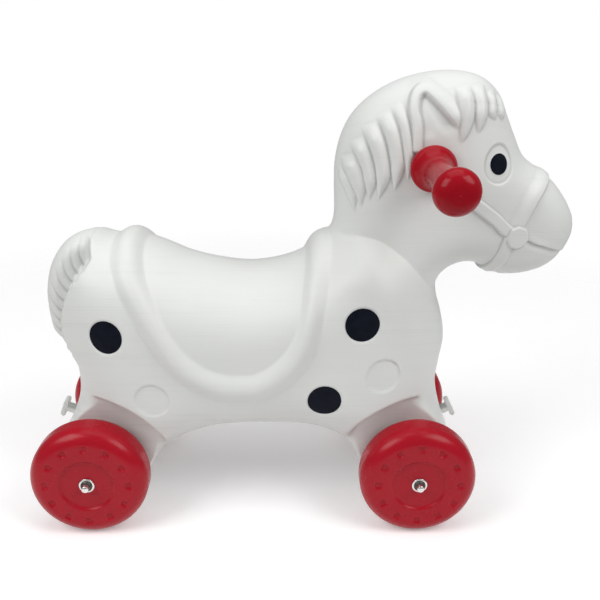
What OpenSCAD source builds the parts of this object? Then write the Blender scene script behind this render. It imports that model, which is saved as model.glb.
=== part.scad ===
// Ride-on horse on wheels: one blow-moulded body with four wheels on two steel axles
// and a hand grip on each side of the head. X points to the nose, Z up, the floor is Z = 0.

/* [Body] */
// Distance between the axles, which the body's length follows
wheel_base = 365; // [330:1:400]
// Height of the top of the head above the axles
body_h = 432; // [395:1:470]
// Width of the barrel
body_w = 198; // [180:1:216]
// Width of the head over the cheeks
head_w = 110; // [98:1:122]
// Width of the tail
tail_w = 48; // [36:1:56]
// Distance over which the barrel rounds off towards its outline
barrel_round = 72; // [60:1:84]
// Distance over which the head rounds off towards its outline
head_round = 52; // [44:1:60]
// Gap between the tread and the wheel arch
arch_gap = 13; // [9:1:18]

/* [Moulded relief] */
// Width of the rolled edge round the saddle blanket
roll_w = 25; // [18:1:32]
// Height of the rolled edge
roll_h = 7; // [4:0.5:9]
// Width of one lock of the mane
lock_w = 15; // [10:0.5:18]
// Height of the locks of mane and forelock
lock_h = 4; // [2:0.5:5]
// Width of the rolled rim of the ear
ear_w = 13; // [9:0.5:16]
// Height of the ear's rim
ear_h = 4.5; // [2:0.5:6]
// Width of the bridle straps
strap_w = 12; // [8:0.5:15]
// Height of the bridle straps
strap_h = 3; // [1.5:0.5:4]
// Diameter of the rosette where the straps meet
rosette_d = 28; // [22:1:32]
// Height of the rosette
rosette_h = 4; // [2:0.5:5]
// Depth of the line of the mouth
mouth_depth = 2.5; // [1:0.5:3]

/* [Spots and eyes] */
// Diameter of the round spots
spot_d = 36.5; // [30:0.5:40]
// Depth of the recess under a spot
spot_depth = 1.8; // [1.5:0.1:3]
// Width of the eye
eye_w = 34; // [28:0.5:36]
// Height of the eye
eye_h = 41; // [34:0.5:44]
// Depth of the eye's recess
eye_depth = 1.8; // [1.5:0.1:2.5]
// Width of the pupil
pupil_w = 20.5; // [16:0.5:24]
// Height of the pupil
pupil_h = 22; // [18:0.5:25]
// Thickness of the stickers
sticker_t = 0.6; // [0.4:0.1:1]

/* [Wheels] */
// Diameter of the wheels
wheel_d = 130; // [116:1:140]
// Width of the wheels
wheel_w = 46; // [40:1:52]
// Radius of the tread's rounded shoulder
shoulder_r = 17; // [12:1:19]
// Diameter of the dished middle of the face
dish_d = 60; // [50:1:64]
// Depth of the dish
dish_depth = 2.5; // [1.5:0.5:4]
// Number of dents in the wheel's face
dent_count = 12; // [8:1:16]
// Size of a dent
dent_size = 8; // [6:0.5:10]
// Depth of a dent
dent_depth = 1.5; // [1:0.5:2.5]

/* [Axles] */
// Diameter of the axles
axle_d = 8; // [6:0.5:10]
// Clearance round an axle in its holes, measured on the diameter
axle_clearance = 0.2; // [0.1:0.05:0.2]
// Diameter of the spacers and washers
washer_d = 17; // [15:0.5:22]
// Thickness of the spacer beside the leg
spacer_t = 2; // [1.5:0.5:4]
// Thickness of the outer washer
washer_t = 1.2; // [0.8:0.1:2]
// Diameter of the push nuts
nut_d = 13; // [12:0.5:15]
// Thickness of the push nuts
nut_t = 2.4; // [1.6:0.2:4]
// How far the axle stands out of its push nut
axle_tip = 6; // [3:0.5:8]
// Clearance of a pressed fit, measured on the diameter
press_clearance = 0.1; // [0.05:0.05:0.2]
// Side play between neighbours on the axle
side_play = 0.3; // [0.2:0.1:0.6]

/* [Grips] */
// Diameter of the steel rod through the head
rod_d = 10; // [8:0.5:14]
// Clearance round the rod in the head, measured on the diameter
rod_clearance = 0.4; // [0.2:0.1:0.8]
// Length of a grip
grip_l = 132; // [110:1:150]
// Diameter of the flange at the cheek
flange_d = 48; // [42:1:54]
// Radius of the flange's rim
flange_r = 8; // [6:0.5:10]
// Diameter of the grip's waist
waist_d = 28; // [24:1:32]
// Radius of the hollow between flange and waist
flange_flare_r = 30; // [24:1:34]
// Diameter of the knob
knob_d = 44; // [40:1:50]
// Radius of the knob's rim
knob_r = 15.5; // [13:0.5:17]
// Radius of the hollow between waist and knob
knob_flare_r = 14; // [10:1:18]
// How far the rod reaches into the grip
rod_reach = 96; // [70:1:105]

/* [Tow cleats] */
// Length of the cleat's bar
cleat_l = 22; // [18:1:26]
// Thickness of the bar and its stem
cleat_t = 6; // [4:0.5:8]
// Width of the cleat
cleat_w = 14; // [10:1:18]
// Gap behind the bar for the cord
cleat_gap = 7; // [5:0.5:9]

/* [Hidden] */
$fn = 64;
overrun = 1;

// Sections of the body from tail to nose, as shares of wheel_base along X from the middle
// between the axles and of body_h above the axles: upper point, lower point, sideways bow
section_shares = [
    [-0.649, 0.354, -0.668, -0.035, 0.086],
    [-0.652, 0.43, -0.658, -0.056, 0.09],
    [-0.63, 0.508, -0.619, -0.067, 0.075],
    [-0.577, 0.57, -0.559, -0.069, 0.045],
    [-0.502, 0.597, -0.488, -0.067, 0.019],
    [-0.43, 0.583, -0.416, -0.058, 0.005],
    [-0.359, 0.582, -0.345, -0.035, 0],
    [-0.285, 0.561, -0.274, 0.007, 0],
    [-0.203, 0.531, -0.197, 0.046, 0],
    [-0.115, 0.513, -0.115, 0.069, 0],
    [-0.022, 0.504, -0.027, 0.076, 0],
    [0.055, 0.512, 0.06, 0.076, 0],
    [0.099, 0.522, 0.148, 0.074, 0],
    [0.134, 0.534, 0.23, 0.053, 0],
    [0.159, 0.547, 0.307, 0.007, 0],
    [0.178, 0.56, 0.386, -0.051, 0],
    [0.195, 0.574, 0.471, -0.069, 0],
    [0.21, 0.587, 0.562, -0.067, -0.005],
    [0.222, 0.6, 0.628, -0.042, -0.016],
    [0.231, 0.614, 0.637, 0.03, -0.027],
    [0.237, 0.632, 0.603, 0.109, -0.033],
    [0.239, 0.655, 0.585, 0.188, -0.022],
    [0.238, 0.685, 0.592, 0.255, -0.011],
    [0.236, 0.727, 0.6, 0.317, 0],
    [0.237, 0.782, 0.587, 0.38, 0],
    [0.252, 0.843, 0.567, 0.435, 0],
    [0.285, 0.898, 0.564, 0.475, 0],
    [0.342, 0.944, 0.589, 0.505, 0],
    [0.419, 0.979, 0.629, 0.521, 0],
    [0.507, 0.998, 0.672, 0.521, 0],
    [0.589, 1, 0.711, 0.504, 0],
    [0.656, 0.985, 0.75, 0.491, 0],
    [0.704, 0.949, 0.796, 0.49, 0],
    [0.734, 0.897, 0.842, 0.496, 0],
    [0.761, 0.849, 0.882, 0.508, 0],
    [0.793, 0.8, 0.912, 0.525, 0],
    [0.844, 0.767, 0.938, 0.549, 0],
    [0.895, 0.733, 0.955, 0.573, 0],
    [0.937, 0.69, 0.966, 0.599, 0],
    [0.963, 0.651, 0.969, 0.624, 0]
];
// Half width of the trunk at even steps from tail to chest, as shares of half body_w
trunk_width_shares = [0.63, 0.87, 0.96, 0.99, 1, 0.98, 0.87, 0.63];
trunk_reach_share = 0.67;
// Half width of neck and head at even steps from the crest to the nose, of half head_w
head_width_shares = [0.91, 0.95, 1, 0.98, 0.78, 0.65];
head_from_share = 0.164;
head_to_share = 0.986;
// Rounding of neck and head at the same steps, as shares of head_round
head_round_shares = [1, 1, 1.04, 0.96, 0.69, 0.54];
// Width of the legs between the wheels, as a share of body_w
leg_w_share = 0.692;
// Place of the dents on a wheel's face, as a share of its radius
dent_r_share = 0.69;
// Line where the neck leaves the trunk
neck_from_share = [0.192, 0.648];
neck_to_share = [0.589, 0.509];
// Rump circle that the tail hangs round, and the height where the tail ends
rump_share = [-0.307, 0.363];
rump_r_share = 0.282;
tail_end_share = 0.264;
tail_root_share = -0.397;
// Rolled edge of the saddle blanket
roll_shares = [
    [-0.367, 0.609], [-0.359, 0.537], [-0.323, 0.463], [-0.266, 0.375], [-0.159, 0.278], [-0.038, 0.257],
    [0.068, 0.285], [0.118, 0.326], [0.164, 0.428], [0.178, 0.493], [0.197, 0.586]
];
// Rim of the ear, bridle straps and mouth
ear_shares = [
    [0.455, 0.831], [0.452, 0.882], [0.444, 0.924], [0.452, 0.958],
    [0.477, 0.972], [0.504, 0.954], [0.542, 0.919], [0.578, 0.884]
];
noseband_shares = [[0.77, 0.613], [0.795, 0.66], [0.814, 0.697], [0.841, 0.736], [0.893, 0.778]];
cheek_strap_shares = [[0.608, 0.715], [0.679, 0.669], [0.767, 0.613]];
chin_strap_shares = [[0.767, 0.613], [0.742, 0.576], [0.704, 0.498]];
mouth_shares = [[0.792, 0.6], [0.827, 0.588], [0.871, 0.576], [0.964, 0.549]];
// Locks of mane and forelock, each from its root through its belly to its tip
mane_shares = [
    [[0.248, 0.778], [0.267, 0.736], [0.289, 0.683]],
    [[0.266, 0.803], [0.295, 0.753], [0.303, 0.694]],
    [[0.288, 0.847], [0.322, 0.782], [0.329, 0.713]],
    [[0.318, 0.882], [0.359, 0.801], [0.356, 0.715]],
    [[0.356, 0.91], [0.4, 0.813], [0.396, 0.736]],
    [[0.392, 0.933], [0.432, 0.824], [0.436, 0.764]]
];
forelock_shares = [
    [[0.548, 0.978], [0.58, 0.922], [0.582, 0.857]],
    [[0.594, 0.983], [0.615, 0.927], [0.596, 0.864]],
    [[0.636, 0.971], [0.648, 0.927], [0.637, 0.882]],
    [[0.67, 0.953], [0.676, 0.927], [0.672, 0.902]],
    [[0.698, 0.933], [0.702, 0.917], [0.702, 0.897]]
];
// Places of the spots, of the two empty spot recesses, the eye and the grips
spot_shares = [[0.313, 0.421], [0.209, 0.217], [-0.428, 0.378]];
bare_recess_shares = [[0.382, 0.281], [-0.302, 0.213]];
eye_share = [0.693, 0.794];
grip_share = [0.501, 0.787];
// Places of the tow cleats on the legs
front_cleat_share = [0.621, 0.075];
rear_cleat_share = [-0.612, 0.075];
front_cleat_tilt = 26;
rear_cleat_tilt = 20;

// Steps of the skin along the body and round one side, and of its outline between two sections
skin_columns = 104;
skin_rows = 30;
pace_shares = [[0, 0], [0.12, 0.1], [0.4, 0.335], [0.52, 0.565], [1, 1]];
outline_steps = 2;
end_steps = 10;
arc_steps = 12;
// Softness of the edges of the arches, of the neck's base, of the arch wall and of the tail
edge_soft = 4;
neck_soft = 18;
neck_drop = 18;
arch_wall = 16;
tail_round = 16;
tail_soft = 11;
mouth_w = 7;
skin_probe = 2;

axle_z = wheel_d/2;
leg_w = body_w*leg_w_share;
arch_r = wheel_d/2 + arch_gap;
nose_x_share = section_shares[len(section_shares) - 1][2];
// Middle of the whole toy along X, counted from the middle between the axles
mid_x = (nose_x_share*wheel_base - wheel_base/2 - wheel_d/2)/2;
front_x = wheel_base/2 - mid_x;
rear_x = -wheel_base/2 - mid_x;
right = -1;
left = 1;
// Stack on an axle, from the leg outwards
spacer_y = leg_w/2 + side_play;
wheel_y = spacer_y + spacer_t + side_play;
washer_y = wheel_y + wheel_w - dish_depth + side_play;
nut_y = washer_y + washer_t + side_play;
axle_end_y = nut_y + nut_t + axle_tip;
axle_hole_d = axle_d + axle_clearance;
dent_r = wheel_d/2*dent_r_share;

// Point of a share pair in the side view
function place(s) = [s[0]*wheel_base - mid_x, axle_z + s[1]*body_h];
function places(list) = [for (s = list) place(s)];
function x_share(x) = (x + mid_x)/wheel_base;
function limit(v, low, high) = max(low, min(high, v));
function ramp(v, from, to) = let (t = limit((v - from)/(to - from), 0, 1)) t*t*(3 - 2*t);
function soft_min(a, b, k) = let (h = limit(0.5 + (b - a)/k/2, 0, 1)) b + (a - b)*h - k*h*(1 - h);
function total(list) = list*[for (v = list) 1];

// Smooth curve through a row of points or numbers, with t counted in points
function curve(p, t) =
    let (n = len(p), i = min(floor(t), n - 2), f = t - i)
    let (a = p[max(i - 1, 0)], b = p[i], c = p[i + 1], d = p[min(i + 2, n - 1)])
    b + (c - a)*f/2 + (2*a - 5*b + 4*c - d)*f*f/2 + (3*b - a - 3*c + d)*f*f*f/2;
function even_row(list, x, from, to) = curve(list, limit((x - from)/(to - from), 0, 1)*(len(list) - 1));

// Section of the side view at t: its upper point, lower point and bow
function section(t) =
    let (s = curve(section_shares, t))
    [place([s[0], s[1]]), place([s[2], s[3]]), s[4]*wheel_base];
// Share of the bow at v: at the chest it lies low, behind it steps in under the tail
function bow_share(v, behind) =
    let (arch = 4*v*(1 - v))
    behind ? (v < 0.5 ? arch : 0.3*arch + 0.7*ramp(1 - v, 0.05, 0.32)) : 2*(1 - v)*arch;
function section_point(s, v) = s[1] + v*(s[0] - s[1]) + [s[2]*bow_share(v, s[2] > 0), 0];
function side_outline() =
    let (last = len(section_shares) - 1, runs = last*outline_steps)
    concat(
        [for (i = [0:runs]) section(i/outline_steps)[0]],
        [for (j = [1:end_steps]) section_point(section(last), 1 - j/end_steps)],
        [for (i = [1:runs]) section(last - i/outline_steps)[1]],
        [for (j = [1:end_steps]) section_point(section(0), j/end_steps)]
    );

// Smooth depth of a point inside the outline: small near the rim, about the distance to it
function depth_inside(p, line) =
    sqrt(2/total([
        for (i = [0:len(line) - 2])
            let (a = line[i] - p, e = line[i + 1] - line[i], l = norm(e))
            let (s = a*e/l, h = max(pow(cross(a, e)/l, 2), pow(overrun, 2)/1000))
            ((s + l)/sqrt(h + pow(s + l, 2)) - s/sqrt(h + s*s))/h
    ]));

// 0 on neck and head, 1 on the trunk
function trunk_blend(p) =
    let (a = place(neck_from_share), b = place(neck_to_share))
    let (d = cross(p - a, b - a)/norm(b - a) - neck_drop)
    1/(1 + exp(-2*d/neck_soft));

// Half width of the plain skin at a point of the side view that lies d deep
function plain_width(p, d) =
    let (x = x_share(p[0]), blend = trunk_blend(p))
    let (trunk = body_w/2*even_row(trunk_width_shares, x, -trunk_reach_share, trunk_reach_share))
    let (head = head_w/2*even_row(head_width_shares, x, head_from_share, head_to_share))
    let (head_r = head_round*even_row(head_round_shares, x, head_from_share, head_to_share))
    let (t = limit(d/(head_r + (barrel_round - head_r)*blend), 0, 1))
    (head + (trunk - head)*blend)*sqrt(1 - pow(1 - t, 2));

// Half width that the tail leaves free behind the rump
function tail_limit(p, d) =
    let (r = norm(p - place(rump_share)) - rump_r_share*wheel_base)
    let (rump = ramp(-r, -tail_soft, tail_soft))
    let (ahead = ramp(p[0] - place([tail_root_share, 0])[0], -tail_soft, tail_soft))
    let (below = ramp(place([0, tail_end_share])[1] - p[1], -tail_soft, tail_soft))
    let (t = limit(d/tail_round, 0, 1))
    tail_w/2*sqrt(1 - pow(1 - t, 2)) + body_w/2*min(1, rump + below + ahead);

// Half width that a wheel arch leaves free
function arch_limit(p, axle_x) =
    leg_w/2 + body_w/2*ramp(norm(p - [axle_x, axle_z]), arch_r - edge_soft, arch_r + 2*arch_wall);

function skin_width(p, line) =
    let (d = depth_inside(p, line))
    let (y = soft_min(plain_width(p, d), tail_limit(p, d), edge_soft))
    soft_min(soft_min(y, arch_limit(p, front_x), edge_soft), arch_limit(p, rear_x), edge_soft);

// Distance of a point from a route, and rounded relief along routes and locks
function to_piece(p, a, b) = let (e = b - a, t = limit((p - a)*e/(e*e), 0, 1)) norm(p - a - t*e);
function to_route(p, r) = min([for (i = [0:len(r) - 2]) to_piece(p, r[i], r[i + 1])]);
function bump(t) = t < 1 ? pow(1 - t*t, 2) : 0;
function lock(p, r) =
    let (e = r[2] - r[0], t = limit((p - r[0])*e/(e*e), 0, 1))
    bump(to_route(p, r)/(lock_w/2*(1 - pow(2*t - 1, 2)/2)));

// Height of the moulded relief at a point of the side view
function relief(p, routes) =
    let (roll = roll_h*bump(to_route(p, routes[0])/(roll_w/2)))
    let (ear = ear_h*bump(to_route(p, routes[1])/(ear_w/2)))
    let (strap = strap_h*bump(min([for (i = [2:4]) to_route(p, routes[i])])/(strap_w/2)))
    let (rosette = rosette_h*bump(norm(p - routes[2][0])/(rosette_d/2)))
    let (locks = lock_h*max([for (r = routes[6]) lock(p, r)]))
    max(roll, ear, strap, rosette, locks) - mouth_depth*bump(to_route(p, routes[5])/(mouth_w/2));
function relief_routes() = concat(
    [[for (i = [0:3*(len(roll_shares) - 1)]) place(curve(roll_shares, i/3))]],
    [places(ear_shares), places(noseband_shares), places(cheek_strap_shares), places(chin_strap_shares)],
    [places(mouth_shares)],
    [[for (r = concat(mane_shares, forelock_shares)) places(r)]]
);

// Point of the right-hand skin at section t and row share v, and the height of its relief
function skin_point(t, v, line, routes) =
    let (s = section(t), p = section_point(s, v), c = 2*v - 1)
    let (rim = c == 1 || c == -1 || t == 0 || t == len(section_shares) - 1)
    let (h = relief(p, routes), up = (s[0] - s[1])/norm(s[0] - s[1]))
    let (q = p + up*h*pow(c, 3))
    [q[0], rim ? 0 : -skin_width(p, line) - h*sqrt(1 - pow(c, 6)), q[1], h];

// Share of the sections that the skin has passed at a share of its columns,
// and share of a section that lies below a share of its rows
function pace(share) = lookup(share, pace_shares);
function row_share(share) = 0.3*share + 0.7*(1 - cos(180*share))/2;

module skin() {
    line = side_outline();
    routes = relief_routes();
    last = len(section_shares) - 1;
    rows = skin_rows + 1;
    near = [
        for (i = [0:skin_columns], j = [0:skin_rows])
            skin_point(last*pace(i/skin_columns), row_share(j/skin_rows), line, routes)
    ];
    far = [
        for (i = [1:skin_columns - 1], j = [1:skin_rows - 1])
            let (p = near[i*rows + j]) [p[0], -p[1], p[2]]
    ];
    function at(i, j) = i*rows + j;
    function across(i, j) =
        i == 0 || i == skin_columns || j == 0 || j == skin_rows
            ? at(i, j)
            : len(near) + (i - 1)*(skin_rows - 1) + j - 1;
    // Cells split along the relief, and corner cells along the diagonal that meets their free point
    function along(i, j) =
        (i == 0 || i == skin_columns - 1) && (j == 0 || j == skin_rows - 1)
            ? (i == 0) == (j == 0)
            : abs(near[at(i, j)][3] - near[at(i + 1, j + 1)][3])
                <= abs(near[at(i, j + 1)][3] - near[at(i + 1, j)][3]);
    function halves(along) = along ? [[0, 1, 2], [0, 2, 3]] : [[0, 1, 3], [1, 2, 3]];
    function corners(i, j) = [[i, j], [i, j + 1], [i + 1, j + 1], [i + 1, j]];
    faces = [
        for (i = [0:skin_columns - 1], j = [0:skin_rows - 1], h = halves(along(i, j)))
            let (q = corners(i, j))
            each [
                [for (k = h) at(q[k][0], q[k][1])],
                [for (k = [2, 1, 0]) across(q[h[k]][0], q[h[k]][1])]
            ]
    ];
    polyhedron(concat([for (p = near) [p[0], p[1], p[2]]], far), faces);
}

// Seat on the right-hand skin: its point and the direction that points out of it
function seat(share, line) =
    let (p = place(share), y = skin_width(p, line))
    let (dx = skin_width(p + [skin_probe, 0], line) - y, dz = skin_width(p + [0, skin_probe], line) - y)
    let (out = [-dx, -skin_probe, -dz])
    [[p[0], -y, p[1]], out/norm(out)];

// Puts its children on a seat, their Z out of the skin and their X downwards
module on_seat(share, side) {
    s = seat(share, side_outline());
    mirror([0, side == left ? 1 : 0, 0])
        translate(s[0])
            rotate([0, acos(s[1][2]), atan2(s[1][1], s[1][0])])
                children();
}

module oval(w, h) {
    polygon([for (a = [0:10:350]) [h/2*cos(a), w/2*sin(a)]]);
}

// Half a T in the middle plane: a stem with a bar across it, round at both ends
module cleat(share, tilt) {
    p = place(share);
    translate([p[0], 0, p[1]])
        rotate([90, -tilt, 0])
            linear_extrude(cleat_w, center = true) {
                translate([-cleat_l, -cleat_t/2])
                    square([cleat_l + cleat_gap + cleat_t/2, cleat_t]);
                translate([cleat_gap, -(cleat_l - cleat_t)/2])
                    square([cleat_t, cleat_l - cleat_t]);
                for (end = [-1, 1])
                    translate([cleat_gap + cleat_t/2, end*(cleat_l - cleat_t)/2])
                        circle(d = cleat_t);
            }
}

module cross_bore(x, z, d) {
    translate([x, 0, z])
        rotate([90, 0, 0])
            cylinder(d = d, h = body_w + 2*roll_h + 2*overrun, center = true);
}

module body_shell() {
    grip = place(grip_share);
    color("whitesmoke")
        difference() {
            union() {
                skin();
                cleat(front_cleat_share, front_cleat_tilt);
                cleat(rear_cleat_share, 180 - rear_cleat_tilt);
            }
            cross_bore(front_x, axle_z, axle_hole_d);
            cross_bore(rear_x, axle_z, axle_hole_d);
            cross_bore(grip[0], grip[1], rod_d + rod_clearance);
            for (side = [right, left]) {
                for (share = concat(spot_shares, bare_recess_shares))
                    on_seat(share, side)
                        translate([0, 0, -spot_depth])
                            cylinder(d = spot_d, h = spot_depth + overrun);
                on_seat(eye_share, side)
                    translate([0, 0, -eye_depth])
                        linear_extrude(eye_depth + overrun)
                            oval(eye_w, eye_h);
            }
        }
}

module spot(share, side) {
    color("midnightblue")
        on_seat(share, side)
            translate([0, 0, -spot_depth])
                cylinder(d = spot_d - 2*side_play, h = sticker_t);
}

module pupil(side) {
    color("midnightblue")
        on_seat(eye_share, side)
            translate([0, 0, -eye_depth])
                linear_extrude(sticker_t)
                    oval(pupil_w, pupil_h);
}

// Puts its children on an axle, their Z pointing outwards
module on_axle(x, side, y) {
    translate([x, side*y, axle_z])
        rotate([-90*side, 0, 0])
            children();
}

module ring(d, t, hole) {
    difference() {
        cylinder(d = d, h = t);
        translate([0, 0, -overrun])
            cylinder(d = hole, h = t + 2*overrun);
    }
}

// Half section of a wheel: a slab with round shoulders, dished in the middle of its outer face
module wheel_profile() {
    difference() {
        union() {
            square([wheel_d/2 - shoulder_r, wheel_w]);
            translate([0, shoulder_r])
                square([wheel_d/2, wheel_w - 2*shoulder_r]);
            for (y = [shoulder_r, wheel_w - shoulder_r])
                translate([wheel_d/2 - shoulder_r, y])
                    circle(r = shoulder_r);
        }
        translate([0, wheel_w - dish_depth])
            square([dish_d/2, dish_depth + overrun]);
        translate([0, -overrun])
            square([axle_hole_d/2, wheel_w + 2*overrun]);
    }
}

module wheel(x, side) {
    color("firebrick")
        on_axle(x, side, wheel_y)
            difference() {
                rotate_extrude()
                    wheel_profile();
                for (i = [0:dent_count - 1])
                    rotate([0, 0, 360*i/dent_count])
                        translate([dent_r - dent_size/2, -dent_size/2, wheel_w - dent_depth])
                            cube([dent_size, dent_size, dent_depth + overrun]);
            }
}

module spacer(x, side) {
    color("silver")
        on_axle(x, side, spacer_y)
            ring(washer_d, spacer_t, axle_hole_d);
}

module washer(x, side) {
    color("silver")
        on_axle(x, side, washer_y)
            ring(washer_d, washer_t, axle_hole_d);
}

// Push nut: a disc with a raised collar that grips the axle
module push_nut(x, side) {
    color("silver")
        on_axle(x, side, nut_y) {
            ring(nut_d, nut_t/2, axle_d + press_clearance);
            translate([0, 0, nut_t/2])
                ring((nut_d + axle_d)/2, nut_t/2, axle_d + press_clearance);
        }
}

// Plain steel bar across the toy with turned-down ends
module cross_bar(x, z, d, half_l, chamfer) {
    color("silver")
        translate([x, 0, z])
            for (side = [right, left])
                rotate([-90*side, 0, 0]) {
                    cylinder(d = d, h = half_l - chamfer);
                    translate([0, 0, half_l - chamfer])
                        cylinder(d1 = d, d2 = d - 2*chamfer, h = chamfer);
                }
}

function grip_y() = skin_width(place(grip_share), side_outline()) + side_play;

module handle_rod() {
    p = place(grip_share);
    cross_bar(p[0], p[1], rod_d, grip_y() + rod_reach, rod_d/10);
}

// Points along an arc round c, after its start at angle a and up to its end at angle b
function arc(c, r, a, b) =
    [for (i = [1:arc_steps]) let (t = a + (b - a)*i/arc_steps) c + r*[cos(t), sin(t)]];

// Half section of a grip: flange, hollow waist and knob, with a blind hole for the rod
module grip_profile() {
    rim = [flange_d/2 - flange_r, flange_r];
    ball = [knob_d/2 - knob_r, grip_l - knob_r];
    bore = [(rod_d + press_clearance)/2, rod_reach + side_play];
    // Steps from the rim and the ball to the centres of the two hollows, and their angles
    rim_x = waist_d/2 + flange_flare_r - rim[0];
    rim_z = sqrt(pow(flange_flare_r + flange_r, 2) - pow(rim_x, 2));
    ball_x = waist_d/2 + knob_flare_r - ball[0];
    ball_z = sqrt(pow(knob_flare_r + knob_r, 2) - pow(ball_x, 2));
    rim_a = atan2(rim_z, rim_x);
    ball_a = atan2(-ball_z, ball_x);
    polygon(concat(
        [[bore[0], 0], [rim[0], 0]],
        arc(rim, flange_r, -90, rim_a),
        arc(rim + [rim_x, rim_z], flange_flare_r, 180 + rim_a, 180),
        [[waist_d/2, ball[1] - ball_z]],
        arc(ball + [ball_x, -ball_z], knob_flare_r, 180, 180 + ball_a),
        arc(ball, knob_r, ball_a, 90),
        [[0, grip_l], [0, bore[1]], bore]
    ));
}

module grip(side) {
    p = place(grip_share);
    color("firebrick")
        translate([p[0], side*grip_y(), p[1]])
            rotate([-90*side, 0, 0])
                rotate_extrude()
                    grip_profile();
}

body_shell();
handle_rod();
grip(right);  // right_grip
grip(left);  // left_grip
cross_bar(front_x, axle_z, axle_d, axle_end_y, axle_d/10);  // front_axle
cross_bar(rear_x, axle_z, axle_d, axle_end_y, axle_d/10);  // rear_axle
wheel(front_x, right);  // front_right_wheel
wheel(front_x, left);  // front_left_wheel
wheel(rear_x, right);  // rear_right_wheel
wheel(rear_x, left);  // rear_left_wheel
spacer(front_x, right);  // front_right_spacer
spacer(front_x, left);  // front_left_spacer
spacer(rear_x, right);  // rear_right_spacer
spacer(rear_x, left);  // rear_left_spacer
washer(front_x, right);  // front_right_washer
washer(front_x, left);  // front_left_washer
washer(rear_x, right);  // rear_right_washer
washer(rear_x, left);  // rear_left_washer
push_nut(front_x, right);  // front_right_nut
push_nut(front_x, left);  // front_left_nut
push_nut(rear_x, right);  // rear_right_nut
push_nut(rear_x, left);  // rear_left_nut
spot(spot_shares[0], right);  // shoulder_right_spot
spot(spot_shares[0], left);  // shoulder_left_spot
spot(spot_shares[1], right);  // belly_right_spot
spot(spot_shares[1], left);  // belly_left_spot
spot(spot_shares[2], right);  // rump_right_spot
spot(spot_shares[2], left);  // rump_left_spot
pupil(right);  // right_pupil
pupil(left);  // left_pupil
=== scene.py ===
# %% [markdown]
# # A ride-on horse on wheels
# The toy is one hollow off-white moulding with red wheels on steel axles and a red spool grip on
# each side of the head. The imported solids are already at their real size, so this lesson gives
# them their looks: a finely modelled skin, turned wheels and grips, stickers and finishes.

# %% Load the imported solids
import math
import bmesh
import bpy
import numpy as np
from mathutils import Matrix, Vector


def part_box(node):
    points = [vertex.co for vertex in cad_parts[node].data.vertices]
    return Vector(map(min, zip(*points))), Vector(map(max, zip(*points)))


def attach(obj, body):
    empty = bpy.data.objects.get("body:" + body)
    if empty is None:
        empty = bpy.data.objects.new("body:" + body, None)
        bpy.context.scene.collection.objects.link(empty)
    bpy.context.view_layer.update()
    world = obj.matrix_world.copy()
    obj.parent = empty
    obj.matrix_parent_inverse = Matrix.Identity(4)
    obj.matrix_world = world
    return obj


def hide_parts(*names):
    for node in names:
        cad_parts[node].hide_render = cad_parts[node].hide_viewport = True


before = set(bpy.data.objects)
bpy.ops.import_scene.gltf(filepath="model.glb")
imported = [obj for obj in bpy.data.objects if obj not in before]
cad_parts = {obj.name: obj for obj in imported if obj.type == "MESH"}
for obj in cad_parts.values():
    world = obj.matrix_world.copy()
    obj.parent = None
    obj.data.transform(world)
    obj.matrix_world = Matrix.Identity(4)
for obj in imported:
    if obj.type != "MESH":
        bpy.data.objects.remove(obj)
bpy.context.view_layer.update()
MM = 0.001
SIDES = {"right": -1, "left": 1}
ENDS = ("front", "rear")

# %% [markdown]
# Sizes come from the solids wherever they can. The hubs give the wheel base and the height of the
# axles, and the wheels and grips give their own places. Everything is in metres.

# %% Measure the solids


def middle(node):
    low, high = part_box(node)
    return np.array((low + high)/2)


front_hub = middle("front_axle")
rear_hub = middle("rear_axle")
WHEEL_BASE = front_hub[0] - rear_hub[0]
MID_X = (front_hub[0] + rear_hub[0])/2
AXLE_Z = front_hub[2]
print(f"wheel base {WHEEL_BASE:.4f} m, axles {AXLE_Z:.4f} m above the floor")

# %% [markdown]
# The camera comes first. It stands where the photographer stood: to the right of the toy, a little
# above it and looking down. The lens follows from the picture's field of view.

# %% Camera
CAMERA_PLACE = (MID_X + 0.0323, -0.814, 0.544)
CAMERA_PITCH = math.radians(20.5)
CAMERA_YAW = math.radians(-1.41)
CAMERA_ROLL = math.radians(0.76)
SENSOR = 36
IMAGE_PX = 600
FOCAL_PX = 748
CENTRE_PX = 1.5

ahead = np.array([-math.sin(CAMERA_YAW), math.cos(CAMERA_YAW), 0])
right_hand = np.array([math.cos(CAMERA_YAW), math.sin(CAMERA_YAW), 0])
skyward = np.array([0, 0, 1])
look = ahead*math.cos(CAMERA_PITCH) - skyward*math.sin(CAMERA_PITCH)
upright = ahead*math.sin(CAMERA_PITCH) + skyward*math.cos(CAMERA_PITCH)
rolled_right = right_hand*math.cos(CAMERA_ROLL) + upright*math.sin(CAMERA_ROLL)
rolled_up = upright*math.cos(CAMERA_ROLL) - right_hand*math.sin(CAMERA_ROLL)

camera_data = bpy.data.cameras.new("camera")
camera_data.sensor_width = SENSOR
camera_data.lens = FOCAL_PX*SENSOR/IMAGE_PX
camera_data.shift_x = -CENTRE_PX/IMAGE_PX
camera = bpy.data.objects.new("camera", camera_data)
bpy.context.scene.collection.objects.link(camera)
turn = Matrix(np.stack([rolled_right, rolled_up, -look], axis=1).tolist()).to_4x4()
camera.matrix_world = Matrix.Translation(CAMERA_PLACE) @ turn
bpy.context.scene.camera = camera
print(f"lens {camera_data.lens:.1f} mm")

# %% [markdown]
# Shader maths is easier to read as sums than as boxes and wires. This small class wraps one socket
# of a node tree: adding, subtracting and multiplying wraps the Math nodes, and its method node()
# adds any other node, with its settings first and its sockets after them.

# %% Shader sums


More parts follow.
